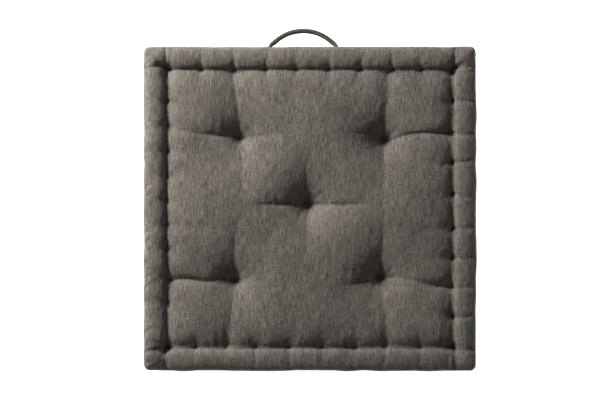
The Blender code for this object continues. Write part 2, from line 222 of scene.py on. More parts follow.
def fold_line(place, out, lean):
    """A straight line that runs out from a stitch, or in where out is negative, leaning along the side."""
    _, (px, py), (ax, ay), (nx, ny) = place
    return (px, py), (px + nx * out + ax * abs(out) * lean, py + ny * out + ay * abs(out) * lean)


def tuft_places():
    found = []
    for name in TUFTS:
        low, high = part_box("tuft_tie_" + name)
        found.append(((low.x + high.x) / 2 - MIDDLE[0], (low.y + high.y) / 2 - MIDDLE[1]))
    return found


def from_tufts(x, y):
    """How far each point lies from each tuft."""
    return [np.hypot(x - tuft_x, y - tuft_y) for tuft_x, tuft_y in tuft_places()]


# The shape of a cover
def roll_section(inset, lean, square, bulge):
    """Height of the cloth over the middle of the body, this far in from the edge.

    A lean under 1 moves the crest out, and a square over 2 flattens it.
    """
    within = (np.clip(inset, 0, GROOVE_INSET) / GROOVE_INSET) ** lean
    foot = SEAM + SEAM_UPSTAND * smooth(0.0, 0.02, within)
    arch = (1 - np.abs(1 - 2 * within) ** square) ** (1 / square)
    roll = foot + (GROOVE - foot) * within + bulge * arch
    past = np.clip(inset - GROOVE_INSET, 0, None)
    field = GROOVE + (CROWN - GROOVE) * (1 - 0.46 * np.exp(-past / 0.0085) - 0.54 * np.exp(-past / 0.06))
    return np.where(inset < GROOVE_INSET, roll, field)


def crease_lines(face_name):
    """Places, depths and reaches of a cover's long creases. The bottom ones are a little different."""
    found = []
    for number, crease in enumerate(CREASES):
        x, y, depths, reaches = np.array(crease).T / 1000
        if face_name == "bottom":
            x, y = x + 0.004 * np.sin(number + 60 * y), y - 0.004 * np.cos(number + 50 * x)
            depths = depths * (0.85 + 0.2 * math.sin(3 * number))
        found.append((np.column_stack([x, y]), depths, reaches))
    return found


def runs_across(line):
    """Whether a crease runs left and right, along the weft, where the cloth folds more sharply."""
    return abs(line[-1][0] - line[0][0]) > abs(line[-1][1] - line[0][1])


def cover_height(x, y, face_name):
    """Height of a cover over the middle of the body, with its rolls, pads and tufts."""
    seed = 10 if face_name == "top" else 50
    wander_x, wander_y = wandered(x, y, seed, seed, 0.012, 0.001)
    inset = from_edge(x, y)

    # The stitched groove bows towards the pads between its stitches, where the roll swells
    places = edge_places(face_name)
    pull = np.zeros_like(x)
    for place in places:
        along, across = from_stitch(place, x, y)
        held = np.exp(-np.abs(along) / 0.0075) * np.exp(-((np.clip(across, -1, 0) / 0.03) ** 2))
        pull = np.maximum(pull, held * PUCKERS[place[0]] * (across < 0.05))
    groove_shift = 0.0013 * (1 - pull) - 0.0006
    nearer = (HALF_DEPTH - np.abs(y)) - (HALF_WIDTH - np.abs(x))
    upright, level = smooth(-CORNER_BLEND, CORNER_BLEND, nearer), smooth(-CORNER_BLEND, CORNER_BLEND, -nearer)
    on_right, on_left = (x > 0) * upright, (x < 0) * upright
    on_back, on_front = (y > 0) * level, (y < 0) * level
    lean = 1 - 0.12 * on_right - 0.32 * on_left - 0.3 * on_back
    square = 2 + 0.9 * on_right + 0.9 * on_front
    bulge = ROLL_BULGE * (1 - 0.25 * on_right - 0.42 * on_front - 0.2 * on_back)
    height = roll_section(inset - groove_shift * smooth(0.012, 0.036, inset), lean, square, bulge)
    height += 0.0024 * (0.45 - pull) * np.exp(-(((inset - 0.022) / 0.016) ** 2))

    # Tufts and long creases share their depth where they meet
    field = smooth(GROOVE_INSET - 0.004, GROOVE_INSET + 0.008, inset)
    deep = np.zeros_like(x)
    for name, away in zip(TUFTS, from_tufts(x, y)):
        away = np.clip(away - 0.003, 0, None)
        wide = 0.033 if name == "middle" else 0.029
        deep += (0.015 * np.exp(-away / 0.013) + wide * np.exp(-away / 0.06)) ** MEETING
    for line, depths, reaches in crease_lines(face_name):
        near, spread = (1.75, 1.3) if runs_across(line) else (1.35, 1.9)
        for depth, reach in ((near * depths, spread * reaches), (depths + 0.0006, 3.7 * reaches)):
            deep += (line_dip(wander_x, wander_y, line, depth, reach) * field) ** MEETING
    deep = deep ** (1 / MEETING)
    height = height - DEEPEST * np.tanh(deep / DEEPEST)

    # Soft hollows that run from the stitches into the pads
    rng = np.random.default_rng(seed + 5)
    for place in places:
        far, lean = rng.uniform(0.045, 0.085), rng.uniform(-0.15, 0.15)
        depth = rng.uniform(0.0022, 0.0036) * {"left": 0.6, "right": 1.5}.get(place[0], 1.0)
        line = fold_line(place, -far, lean)
        height -= line_dip(wander_x, wander_y, line, (depth, 0.0), (0.011, 0.016)) * field
    height += 0.0012 * soft_noise(x, y, 0.05, seed + 7) * field
    return height


def fine_folds(x, y, face_name):
    """What is drawn in after the cloth has settled: sharp crease lines, puckers, small folds and crumple."""
    seed = 110 if face_name == "top" else 150
    wander_x, wander_y = wandered(x, y, seed - 100, seed, 0.01, 0.0016)

    def crease(line, depths, reaches):
        return line_dip(wander_x, wander_y, line, depths, reaches)

    inset = from_edge(x, y)
    field = smooth(GROOVE_INSET - 0.003, GROOVE_INSET + 0.003, inset)
    dip = np.zeros_like(x)
    for line, depths, _ in crease_lines(face_name):
        sharp = (0.36 if runs_across(line) else 0.1) * np.maximum(depths - 0.0012, 0)
        dip = np.maximum(dip, crease(line, sharp, [0.003] * len(line)) * field)
    groove = np.abs(inset - GROOVE_INSET - 0.0006)
    dip = np.maximum(dip, 0.0022 * np.exp(-groove / 0.0024))
    height = -dip

    rng = np.random.default_rng(seed + 5)
    for place in edge_places(face_name):
        strength = PUCKERS[place[0]] ** 1.5 * rng.uniform(0.7, 1.25)
        along, across = from_stitch(place, x, y)
        height -= strength * 0.0017 * np.exp(-((along / 0.005) ** 2) - ((across / 0.006) ** 2))
        lean = rng.uniform(-0.22, 0.22) + (0.45 if place[0] == "left" else 0.0)
        depths = (strength * 0.0025, strength * 0.0014)
        height -= crease(fold_line(place, ROLL_FOLD, lean), depths, (0.003, 0.0026))
        for _ in range(2):
            far, lean = rng.uniform(0.014, 0.04), rng.uniform(-0.7, 0.7)
            depths = (strength * 0.002, 0.0)
            height -= crease(fold_line(place, -far, lean), depths, (0.0034, 0.0034))

    # Small slanting pleats along the outside of the rolls
    for side in SIDES:
        count, share = (27, 2.0) if side == "left" else (13, 0.9)
        half = HALF_DEPTH if side in ("left", "right") else HALF_WIDTH
        sign = SIGNS[side]
        for k in range(count):
            at = half * (2 * (k + rng.uniform(0.2, 0.8)) / count - 1) * 0.97
            far, lean = rng.uniform(0.008, 0.026), rng.uniform(0.1, 0.9)
            depth = rng.uniform(0.001, 0.0021) * share
            if side in ("left", "right"):
                line = (sign * HALF_WIDTH, at), (sign * (HALF_WIDTH - far), at + far * lean)
            else:
                line = (at, sign * HALF_DEPTH), (at + far * lean * 0.5, sign * (HALF_DEPTH - far))
            height -= line_dip(x, y, line, (depth, 0.0), (0.0026, 0.003))

    # Folds that fan out of the tufts
    for tuft_x, tuft_y in tuft_places():
        turn = rng.uniform(0, 6.28)
        for _ in range(9):
            turn += rng.uniform(0.5, 0.95)
            far, bend = rng.uniform(0.022, 0.055), rng.uniform(-0.35, 0.35)
            line = [
                (tuft_x + r * math.cos(turn + bend * r / far), tuft_y + r * math.sin(turn + bend * r / far))
                for r in (0.004, far / 2, far)
            ]
            height -= line_dip(x, y, line, (0.0018, 0.0016, 0.0), (0.0026, 0.0032, 0.004))

    # Corner folds run on over the rolls to the outline
    for sx in (1, -1):
        for sy in (1, -1):
            cx, cy = sx * (HALF_WIDTH - GROOVE_INSET), sy * (HALF_DEPTH - GROOVE_INSET)
            for end in ((sx * HALF_WIDTH, cy + sy * 0.004), (cx + sx * 0.004, sy * HALF_DEPTH)):
                height -= crease(((cx, cy), end), (0.006, 0.0034), (0.005, 0.004))
            for _ in range(3):
                far, share = rng.uniform(0.03, 0.05), rng.uniform(0.25, 0.75)
                middle = (cx + sx * far * share * 0.55, cy + sy * far * (1 - share) * 0.45)
                line = ((cx, cy), middle, (cx + sx * far * share, cy + sy * far * (1 - share)))
                height -= crease(line, (0.003, 0.0022, 0.0), (0.003, 0.003, 0.003))

    ridges = 0.5 - np.abs(soft_noise(wander_x, wander_y * 0.6, 0.016, seed + 8))
    small = 0.5 - np.abs(soft_noise(wander_x, wander_y * 0.7, 0.0075, seed + 9))
    return height + 0.00085 * ridges + 0.00042 * small


def edge_steps(half, step):
    """Grid lines from one edge to the other, closer together on the steep outside of the rolls."""
    near = [0.0, 0.0006, 0.0018, 0.0036, 0.006, 0.009, 0.0126]
    count = round((half - near[-1]) / step)
    inner = [near[-1] + (half - near[-1]) * k / count for k in range(1, count + 1)]
    low = [-half + d for d in near + inner]
    return np.array(low + [-v for v in reversed(low[:-1])])


def rounded(x, y):
    """The square grid drawn into the cover's outline, with its rounded corners and slightly uneven edge."""
    edge = smooth(0.06, 0.0, from_edge(x, y))
    scaled, bends, moved = [], [], []
    for value, full in ((x, HALF_WIDTH), (y, HALF_DEPTH)):
        half = full - SEAM_INSET
        scaled.append(np.abs(value) * half / full)
        bends.append(np.clip((scaled[-1] - half + CORNER) / CORNER, 0, 1))
    uneven = (soft_noise(np.sign(x), y, 0.03, 71), soft_noise(x, np.sign(y), 0.03, 72))
    for k, (value, full) in enumerate(((x, HALF_WIDTH), (y, HALF_DEPTH))):
        bend = CORNER * bends[k] * np.sqrt(1 - bends[1 - k] ** 2 / 2)
        place = np.sign(value) * (np.minimum(scaled[k], full - SEAM_INSET - CORNER) + bend)
        moved.append(place + 0.0011 * edge * uneven[k] * smooth(0.9, 1, np.abs(value) / full))
    return moved


# Making pieces
def new_piece(name, points, faces, material):
    mesh = bpy.data.meshes.new(name)
    mesh.from_pydata([tuple(map(float, p)) for p in points], [], [tuple(map(int, f)) for f in faces])
    mesh.polygons.foreach_set("use_smooth", [True] * len(mesh.polygons))
    mesh.materials.append(material)
    piece = bpy.data.objects.new(name, mesh)
    SCENE.collection.objects.link(piece)
    return piece


def on_cushion(piece, *nodes):
    """The piece stays with the cushion's body and stands for these nodes."""
    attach(piece, "cushion")
    if nodes:
        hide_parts(*nodes)


def read(items, key, width, kind=float):
    """One value of each item of a mesh, as rows of this many numbers."""
    found = np.zeros(len(items) * width, kind)
    items.foreach_get(key, found)
    return found.reshape(-1, width)


def spots(mesh):
    return read(mesh.vertices, "co", 3)


def put_spots(mesh, points):
    mesh.vertices.foreach_set("co", np.asarray(points, np.float32).ravel())
    mesh.update()


def run_along(points):
    """The distance along a line of points, at each of them."""
    return np.concatenate([[0.0], np.cumsum(np.linalg.norm(np.diff(points, axis=0), axis=1))])


def headings(points):
    ahead = np.gradient(points, axis=0)
    return ahead / np.linalg.norm(ahead, axis=1)[:, None]


def grid_faces(rows, columns, round_rows=False, round_columns=False):
    faces = []
    for i in range(rows if round_rows else rows - 1):
        for j in range(columns if round_columns else columns - 1):
            a, b = i * columns + j, i * columns + (j + 1) % columns
            c, d = ((i + 1) % rows) * columns + (j + 1) % columns, ((i + 1) % rows) * columns + j
            faces.append((a, b, c, d))
    return faces


def turned(faces):
    return [tuple(reversed(f)) for f in faces]


def lay_cloth_map(piece, across, along):
    """A map in metres, so that the threads of the cloth run the same way on every piece."""
    mesh = piece.data
    layer = mesh.uv_layers.new(name="Cloth")
    corners = read(mesh.loops, "vertex_index", 1, int)[:, 0]
    places = np.column_stack([across[corners], along[corners]])
    layer.data.foreach_set("uv", places.astype(np.float32).ravel())


def mark_wear_and_crease_shade(piece, scale):
    """Stores how far each place stands proud of its surroundings: raised ridges are lightened as rubbed wear,
    and creases are darkened with painted shade.
    """
    mesh = piece.data
    points = spots(mesh)
    ends = read(mesh.edges, "vertices", 2, int)
    normals = read(mesh.vertices, "normal", 3)
    count = np.bincount(ends.ravel(), minlength=len(points)).clip(1)
    around = points.copy()
    for _ in range(8):
        total = np.zeros_like(around)
        for axis in range(3):
            total[:, axis] = np.bincount(ends[:, 0], around[ends[:, 1], axis], len(points))
            total[:, axis] += np.bincount(ends[:, 1], around[ends[:, 0], axis], len(points))
        around = 0.5 * around + 0.5 * total / count[:, None]
    proud = ((points - around) * normals).sum(1) / scale
    layer = mesh.attributes.new("wear_and_crease_shade", "FLOAT", "POINT")
    layer.data.foreach_set("value", np.clip(proud, -1, 1).astype(np.float32))


def dress(piece, across, along, ridge):
    """What every sewn piece of cloth gets: its map, and its rubbed ridges and painted crease shade, scaled by
    the ridge height.
    """
    lay_cloth_map(piece, across, along)
    mark_wear_and_crease_shade(piece, ridge)


def settle_cloth(piece, hold, slack):
    """Lets the cloth find its folds over the filling. The hold keeps it, and the slack gathers it."""
    start = spots(piece.data)
    put_spots(piece.data, start * CLOTH_SCALE)
    for name, values in (("hold", hold), ("slack", slack)):
        group = piece.vertex_groups.new(name=name)
        levels = np.round(np.clip(values, 0, 1) * 40).astype(int)
        for level in np.unique(levels):
            group.add([int(i) for i in np.nonzero(levels == level)[0]], level / 40, "REPLACE")
    cloth = piece.modifiers.new("Cloth", "CLOTH")
    settings = cloth.settings
    for name, value in CLOTH_SETTINGS.items():
        setattr(settings, name, value)
    settings.effector_weights.gravity = 0
    cloth.point_cache.frame_start = 1
    cloth.point_cache.frame_end = SETTLING_FRAMES
    for number in range(1, SETTLING_FRAMES + 1):
        SCENE.frame_set(number)
    settled = piece.evaluated_get(bpy.context.evaluated_depsgraph_get()).to_mesh()
    moved = spots(settled) / CLOTH_SCALE - start
    piece.evaluated_get(bpy.context.evaluated_depsgraph_get()).to_mesh_clear()
    piece.modifiers.remove(cloth)
    piece.vertex_groups.clear()
    SCENE.frame_set(1)
    length = np.linalg.norm(moved, axis=1)
    kept = SETTLING_CAP * np.tanh(length / SETTLING_CAP) / np.maximum(length, 1e-9)
    put_spots(piece.data, start + moved * kept[:, None])


def settle_on_floor(height):
    """The underside lies flat where it rests, and lifts smoothly away from there."""
    over = height - FLOOR_BAND
    return np.where(over > 0, height, FLOOR_BAND - FLOOR_PRESS * (1 - np.exp(over / FLOOR_PRESS)))


def make_cover(face_name, material):
    """The top or bottom cloth, out to its edge seams."""
    face = FACES[face_name]
    lines_x, lines_y = edge_steps(HALF_WIDTH, 0.0042), edge_steps(HALF_DEPTH, 0.0042)
    x, y = np.meshgrid(lines_x, lines_y)
    height = cover_height(x, y, face_name)
    edge = from_edge(x, y)
    height[edge < 1e-6] = SEAM
    new_x, new_y = rounded(x, y)
    points = np.column_stack([new_x.ravel(), new_y.ravel(), face * height.ravel()]) + MIDDLE
    faces = grid_faces(len(lines_y), len(lines_x))
    if face < 0:
        faces = turned(faces)
    cover = new_piece(face_name + "_cover", points, faces, material)
    x, y, edge = x.ravel(), y.ravel(), edge.ravel()
    to_tuft = np.min(from_tufts(x, y), axis=0)
    to_stitch = np.min([np.hypot(x - px, y - py) for _, (px, py), _, _ in edge_places(face_name)], axis=0)
    tied = (to_tuft < 0.0065) | (to_stitch < 0.0045)
    near = np.maximum(np.exp(-to_tuft / 0.04), np.exp(-to_stitch / 0.02))
    hold = np.full_like(x, 0.4)
    hold = np.maximum(hold, 0.72 * np.exp(-(((edge - GROOVE_INSET) / 0.006) ** 2)))
    hold = np.maximum(hold, 0.95 * (edge < 0.004))
    hold = np.where((edge < 0.0004) | tied, 1.0, hold)
    settle_cloth(cover, hold, 0.25 + 0.75 * near)
    finer = cover.modifiers.new("Finer", "SUBSURF")
    finer.levels = finer.render_levels = 1
    bpy.ops.object.select_all(action="DESELECT")
    cover.select_set(True)
    bpy.context.view_layer.objects.active = cover
    bpy.ops.object.modifier_apply(modifier="Finer")
    points = spots(cover.data)
    x, y = points[:, 0] - MIDDLE[0], points[:, 1] - MIDDLE[1]
    rise = from_edge(x, y) - SEAM_INSET
    points[:, 2] += face * fine_folds(x, y, face_name) * smooth(0.0006, 0.005, rise)
    if face < 0:
        points[:, 2] = settle_on_floor(points[:, 2])
    put_spots(cover.data, points)
    dress(cover, points[:, 0], points[:, 1], 0.0016)
    return cover


def outline_of(cover):
    """The cover's edge as a loop of points, anticlockwise from above, from the front left corner."""
    work = bmesh.new()
    work.from_mesh(cover.data)
    rim = [e for e in work.edges if e.is_boundary]
    follow = {}
    for e in rim:
        for a, b in ((e.verts[0], e.verts[1]), (e.verts[1], e.verts[0])):
            follow.setdefault(a, []).append(b)
    start = min(follow, key=lambda v: v.co.x + v.co.y)
    loop = [start]
    ahead = max(follow[start], key=lambda v: v.co.x - v.co.y)
    while ahead is not start:
        loop.append(ahead)
        ahead = next(v for v in follow[ahead] if v is not loop[-2])
    found = np.array([v.co[:] for v in loop])
    work.free()
    return found


def outward(loop):
    """The level direction out of a loop at each of its points."""
    ahead = np.roll(loop, -2, axis=0) - np.roll(loop, 2, axis=0)
    out = np.column_stack([ahead[:, 1], -ahead[:, 0], 0 * ahead[:, 0]])
    return out / np.linalg.norm(out, axis=1)[:, None]


# The section of a side band's upper half: how far in and how high above the middle, in millimetres
SIDE_ROWS = np.array([
    (2.2, 38), (1, 36.8), (0.2, 35), (0, 32.8), (0.6, 30.4), (2, 28), (4.2, 25.6), (6.6, 23.4), (8.6, 21.6),
    (9.7, 20.3), (9.7, 19.2), (8.4, 18), (6.6, 16.6), (5.2, 14.8), (4.4, 12.6), (4, 10), (3.9, 7.2), (3.8, 4),
    (3.8, 1),
]) / 1000


def make_side_bands(top_loop, bottom_loop, material):
    """The four strips between the top and bottom seams, with the stitched groove that closes each roll."""
    out = outward(top_loop)
    rows = np.vstack([SIDE_ROWS, np.column_stack([SIDE_ROWS[::-1, 0], -SIDE_ROWS[::-1, 1]])])
    lift = run_along(rows)
    handle_middle = (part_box("handle_loop")[0].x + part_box("handle_loop")[1].x) / 2 - MIDDLE[0]
    corners = []
    for sx, sy in ((-1, -1), (1, -1), (1, 1), (-1, 1)):
        corners.append(int(np.argmax(sx * top_loop[:, 0] + sy * (top_loop[:, 1] - MIDDLE[1]))))
    corners.append(corners[0] + len(top_loop))
    bands = {}
    for number, side in enumerate(("front", "right", "back", "left")):
        picked = np.arange(corners[number], corners[number + 1] + 1) % len(top_loop)
        run = run_along(top_loop[picked])
        axis = 0 if side in ("front", "back") else 1
        along = top_loop[picked, axis] - MIDDLE[axis]
        ends = np.minimum(run, run[-1] - run)
        points = np.zeros((len(rows), len(picked), 3))
        calm = 1.0 if side != "back" else smooth(0.095, 0.125, np.abs(along - handle_middle))
        for k, (inset, level) in enumerate(rows):
            share = (SEAM - level) / (2 * SEAM)
            base = top_loop[picked] * (1 - share) + bottom_loop[picked] * share
            depth = np.full(len(picked), inset - SEAM_INSET)
            face_name = "top" if level > 0 else "bottom"
            height = abs(level)
            middle_band = smooth(0.017, 0.012, height)
            calmness = 1 - middle_band * (1 - calm)
            at_groove = math.exp(-(((height - SIDE_GROOVE) / 0.005) ** 2))
            fade = math.exp(-abs(height - SIDE_GROOVE) / 0.009)
            for _, place, _, _ in [p for p in edge_places(face_name) if p[0] == side]:
                away = along - place[axis]
                depth = depth + 0.004 * at_groove * np.exp(-((away / 0.006) ** 2))
                lean = 0.25 * math.sin(50 * (place[0] + 2 * place[1])) * (height - SIDE_GROOVE)
                line = np.exp(-np.abs(away - lean) / 0.0035)
                depth = depth + 0.0026 * line * fade * calmness
            wave = soft_noise(along, along * 0 + level, 0.022, 91 + number)
            fine = soft_noise(along, along * 0 + level, 0.008, 95 + number)
            inner = smooth(0.0, 0.004, SEAM - height)
            depth = depth + (0.0007 - 0.0007 * wave - 0.0004 * fine) * inner * calmness
            depth = depth - 0.0016 * middle_band * calm * (1 - (height / 0.018) ** 2)
            depth = depth + 0.0013 * np.exp(-ends / 0.0022) * inner
            points[k] = base - out[picked] * depth[:, None]
            points[k, :, 2] = MIDDLE[2] + level + (top_loop[picked, 2] - MIDDLE[2] - SEAM) * (1 - share)
        points[0], points[-1] = top_loop[picked], bottom_loop[picked]
        count = len(picked)
        faces = turned(grid_faces(len(rows), count))
        band = new_piece(side + "_side_band", points.reshape(-1, 3), faces, material)
        dress(band, np.tile(along, len(rows)) + 0.4 * number, np.repeat(-lift, count), 0.0012)
        bands[side] = band
    return bands


def tube_faces(rows, sides, closed=False):
    faces = grid_faces(rows, sides, closed, True)
    if not closed:
        faces += [tuple(reversed(range(sides))), tuple(range((rows - 1) * sides, rows * sides))]
    return faces


def tube(name, rings, material, closed=True):
    """A tube through rings of points. An open one gets its ends closed."""
    faces = tube_faces(*rings.shape[:2], closed)
    piece = new_piece(name, rings.reshape(-1, 3), faces, material)
    turn_outwards(piece)
    return piece


def turn_outwards(piece):
    work = bmesh.new()
    work.from_mesh(piece.data)
    bmesh.ops.recalc_face_normals(work, faces=work.faces[:])
    work.to_mesh(piece.data)
    work.free()


def make_edge_seam(name, loop, face, material):
    """The narrow ridge where a cover and the side bands are sewn together."""
    out = outward(loop)
    run = np.arange(len(loop))
    swell = 1 + 0.18 * soft_noise(run * 0.002, run * 0, 0.006, 33 + face)
    rings = []
    for step in range(8):
        turn = math.tau * step / 8
        away = out * (0.0011 * math.cos(turn) - 0.0002) * swell[:, None]
        up = np.array([0, 0, 0.0012]) * math.sin(turn) * swell[:, None]
        rings.append(loop + away + up)
    piece = tube(name, np.stack(rings, axis=1), material)
    points = spots(piece.data)
    dress(piece, points[:, 0] + points[:, 1], points[:, 2] * 3, 0.0012)
    return piece


# Threads
def twisted_rings(path, radius, sides=8, pitch=0.0032):
    """Rings of a two-ply thread along a path."""
    path = np.asarray(path, float)
    ahead = headings(path)
    across = np.cross(ahead[0], (0.31, 0.17, 0.93))
    run, rings = 0.0, []
    for k, point in enumerate(path):
        across = across - ahead[k] * (across @ ahead[k])
        across /= np.linalg.norm(across)
        up = np.cross(ahead[k], across)
        if k:
            run += np.linalg.norm(point - path[k - 1])
        ring = []
        for step in range(sides):
            turn = math.tau * step / sides
            size = radius * (0.84 + 0.2 * math.cos(2 * (turn - math.tau * run / pitch)))
            ring.append(point + size * (across * math.cos(turn) + up * math.sin(turn)))
        rings.append(ring)
    return np.array(rings)


def surface_of(pieces):
    points, faces = [], []
    for piece in pieces:
        start = len(points)
        points += [v.co.copy() for v in piece.data.vertices]
        faces += [tuple(start + i for i in f.vertices) for f in piece.data.polygons]
    return BVHTree.FromPolygons(points, faces)


def on_cloth(surface, place, direction, lift):
    """The point where a line through this place in this direction meets the cloth, raised from it."""
    start = Vector(place) - Vector(direction) * 0.08
    hit = surface.ray_cast(start, Vector(direction))[0]
    hit = Vector(place) if hit is None else hit
    return np.array(hit - Vector(direction) * lift)


def stitch_over(surface, spot, along, direction, half):
    """Places along one stitch that lies on the cloth and dips into it at both ends, from -half to half."""
    found = []
    for shift in np.linspace(-half, half, 10):
        under = 0.0026 * (abs(shift) / HALF_STITCH) ** 4
        found.append(on_cloth(surface, spot + along * shift, direction, 0.0004 - under))
    return found


def make_roll_stitching(face_name, side, covers, bands, material):
    """One thread that closes the roll along a side, in turn on the face and on the side band."""
    face = FACES[face_name]
    inward = np.array([0, 0, -face])
    path = []
    places = [p for p in edge_places(face_name) if p[0] == side]
    places.sort(key=lambda p: p[1][0] + p[1][1])
    for _, (px, py), (ax, ay), (nx, ny) in places:
        spot = np.array([px, py, 0]) + MIDDLE
        along, away = np.array([ax, ay, 0.0]), np.array([nx, ny, 0.0])
        path += stitch_over(covers, spot + inward * -HALF, along, inward, HALF_STITCH)
        path.append(path[-1] + inward * 0.006 + along * 0.0006)
        side_spot = spot + away * (GROOVE_INSET - SIDE_GROOVE_INSET) + np.array([0, 0, face * SIDE_GROOVE])
        path.append(side_spot - away * 0.012 + along * HALF_STITCH)
        path += stitch_over(bands, side_spot, along, -away, -HALF_STITCH)
        path.append(side_spot - away * 0.012 - along * HALF_STITCH)
        path.append(spot + inward * -(GROOVE - 0.016) + along * 0.002)
    return tube(f"{face_name}_stitching_{side}", twisted_rings(path, 0.0008), material, False)


def make_tuft_twine(name, place, top_surface, bottom_surface, material):
    """Twine through the whole cushion: two loops that cross in each tuft."""
    centre = np.array([place[0], place[1], 0]) + MIDDLE
    high = on_cloth(top_surface, centre + (0, 0, HALF), (0, 0, -1), 0)[2]
    low = on_cloth(bottom_surface, centre - (0, 0, HALF), (0, 0, 1), 0)[2]
    turn = 0.35 + place[0] * 5
    path = []
    for extra, over in ((0.0, -0.0006), (1.25, 0.0004)):
        across = np.array([math.cos(turn + extra), math.sin(turn + extra), 0.0])
        for sign, level in ((1, high), (-1, low)):
            for share in np.linspace(-sign, sign, 9):
                dip = 0.0022 * abs(share) ** 3
                path.append([*(centre + across * 0.0044 * share)[:2], level + sign * (over - dip)])
            for share in np.linspace(0.08, 0.92, 8)[::sign]:
                path.append([*(centre + sign * across * 0.003)[:2], high + (low - high) * share])
    path.append(path[0])
    return tube("tuft_twine_" + name, twisted_rings(path, 0.0011), material, False)


def sewn_dashes(name, lines, radius, material, normal):
    """Short raised stitches, evenly spaced along straight lines."""
    points, faces = [], []
    normal = np.array(normal, float)
    for start, end in lines:
        start, end = np.array(start, float), np.array(end, float)
        length = np.linalg.norm(end - start)
        count = max(1, round(length / 0.0036))
        step = (end - start) / count
        for k in range(count):
            path = []
            for share in np.linspace(0.1, 0.9, 6):
                sink = 0.0012 * abs(2 * share - 1) ** 4
                path.append(start + step * (k + share) - normal * sink)
            rings = twisted_rings(path, radius, 6, 0.0022)
            faces += [tuple(len(points) + i for i in f) for f in tube_faces(*rings.shape[:2])]
            points += list(rings.reshape(-1, 3))
    piece = new_piece(name, points, faces, material)
    turn_outwards(piece)
    return piece


# The handle
def handle_line():
    """The middle line of the handle from one sewn end to the other, level with the middle of the side."""
    low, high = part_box("handle_loop")
    tab_low, tab_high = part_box("handle_tab_right")
    grip = (high.z - low.z) / 2
    centre = (low.x + high.x) / 2
    span = (high.x - low.x) / 2 - grip
    end_x = tab_high.x - centre
    axis = tab_high.y + 0.0003 + grip
    rise = high.y - grip - axis
    radius = (span**2 + rise**2) / (2 * rise)
    sweep = math.asin(span / radius)
    tab_y = (tab_low.y + tab_high.y) / 2
    half = [(end_x - 0.0002, tab_y), (end_x - 0.01, tab_y), (end_x - 0.0185, tab_y + 0.0001)]
    half += [(span + 0.0075, tab_y + 0.0006), (span + 0.003, tab_y + 0.0035), (span + 0.0002, axis + 0.003)]
    for share in (0.9, 0.75, 0.55, 0.36, 0.18):
        turn = sweep * share
        level = axis + rise - radius + radius * math.cos(turn)
        half.append((radius * math.sin(turn) * 0.992, level + 0.0012 * share))
    points = half + [(0.0, axis + rise)] + [(-x - 0.0004, y) for x, y in reversed(half)]
    curve = bpy.data.curves.new("handle_line", "CURVE")
    curve.dimensions = "3D"
    spline = curve.splines.new("NURBS")
    spline.points.add(len(points) - 1)
    for k, (x, y) in enumerate(points):
        spline.points[k].co = (centre + x, y, (tab_low.z + tab_high.z) / 2, 1)
    spline.order_u = 4
    spline.use_endpoint_u = True
    spline.resolution_u = 9
    holder = bpy.data.objects.new("handle_line", curve)
    SCENE.collection.objects.link(holder)
    mesh = holder.to_mesh()
    line = spots(mesh)
    holder.to_mesh_clear()
    bpy.data.objects.remove(holder)
    bpy.data.curves.remove(curve)
    return line, grip


def make_handle(material):
    """One strip of cloth, rolled for the grip and left flat where its ends are sewn on."""
    line, grip = handle_line()
    ahead = headings(line)
    run = run_along(line)
    sides = 28
    around = np.linspace(0, 2 * math.pi * grip, sides, endpoint=False)
    rings = []
    tab_low, tab_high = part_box("handle_tab_right")
    tab_half = (tab_high.z - tab_low.z) / 2
    for k, point in enumerate(line):
        from_end = min(run[k], run[-1] - run[k])
        rolled, tip = float(smooth(0.018, 0.043, from_end)), float(smooth(-0.0004, 0.0026, from_end))
        wide = (tab_half * (1 - rolled) + (grip + 0.0003) * rolled) * (0.9 + 0.1 * tip)
        thick = (0.00125 * (1 - rolled) + grip * rolled) * (0.35 + 0.65 * tip)
        square = 5.0 * (1 - rolled) + 2.15 * rolled
        outside = np.array([ahead[k][1], -ahead[k][0], 0.0])
        upright = np.array([0.0, 0.0, 1.0])
        wobble = 1 + 0.035 * float(soft_noise(run[k], 0.0, 0.012, 61)) * rolled
        ring = []
        for step in range(sides):
            turn = math.tau * step / sides
            c, s = math.cos(turn), math.sin(turn)
            a = math.copysign(abs(c) ** (2 / square), c) * wide
            b = math.copysign(abs(s) ** (2 / square), s) * thick
            lap = 0.0007 * math.exp(-(((step - 19.5) / 0.9) ** 2)) if step != 20 else -0.0004
            fold = 1 + lap * rolled / wide
            ring.append(point + (upright * a + outside * b) * wobble * fold)
        rings.append(ring)
    handle = tube("carry_handle", np.array(rings), material, False)
    dress(handle, np.tile(around, len(line)), np.repeat(run, sides), 0.001)
    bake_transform(handle)
    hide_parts("handle_loop", "handle_tab_left", "handle_tab_right")
    return handle


def make_handle_stitching(side_name, sign, material):
    """A box with a cross in it, sewn through the flat end of the handle."""
    low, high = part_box("handle_tab_" + side_name)
    face = high.y + 0.0004
    far = (high.x if sign > 0 else low.x) - sign * 0.003
    top, bottom = high.z - 0.0032, low.z + 0.0032
    a, b = far - sign * 0.0195, far
    corners = [(a, face, bottom), (b, face, bottom), (b, face, top), (a, face, top)]
    lines = [(corners[k], corners[(k + 1) % 4]) for k in range(4)]
    lines += [(corners[0], corners[2]), (corners[1], corners[3])]
    piece = sewn_dashes("handle_sewing_" + side_name, lines, 0.00055, material, (0, 1, 0))
    on_cushion(piece, "handle_stitch_" + side_name)


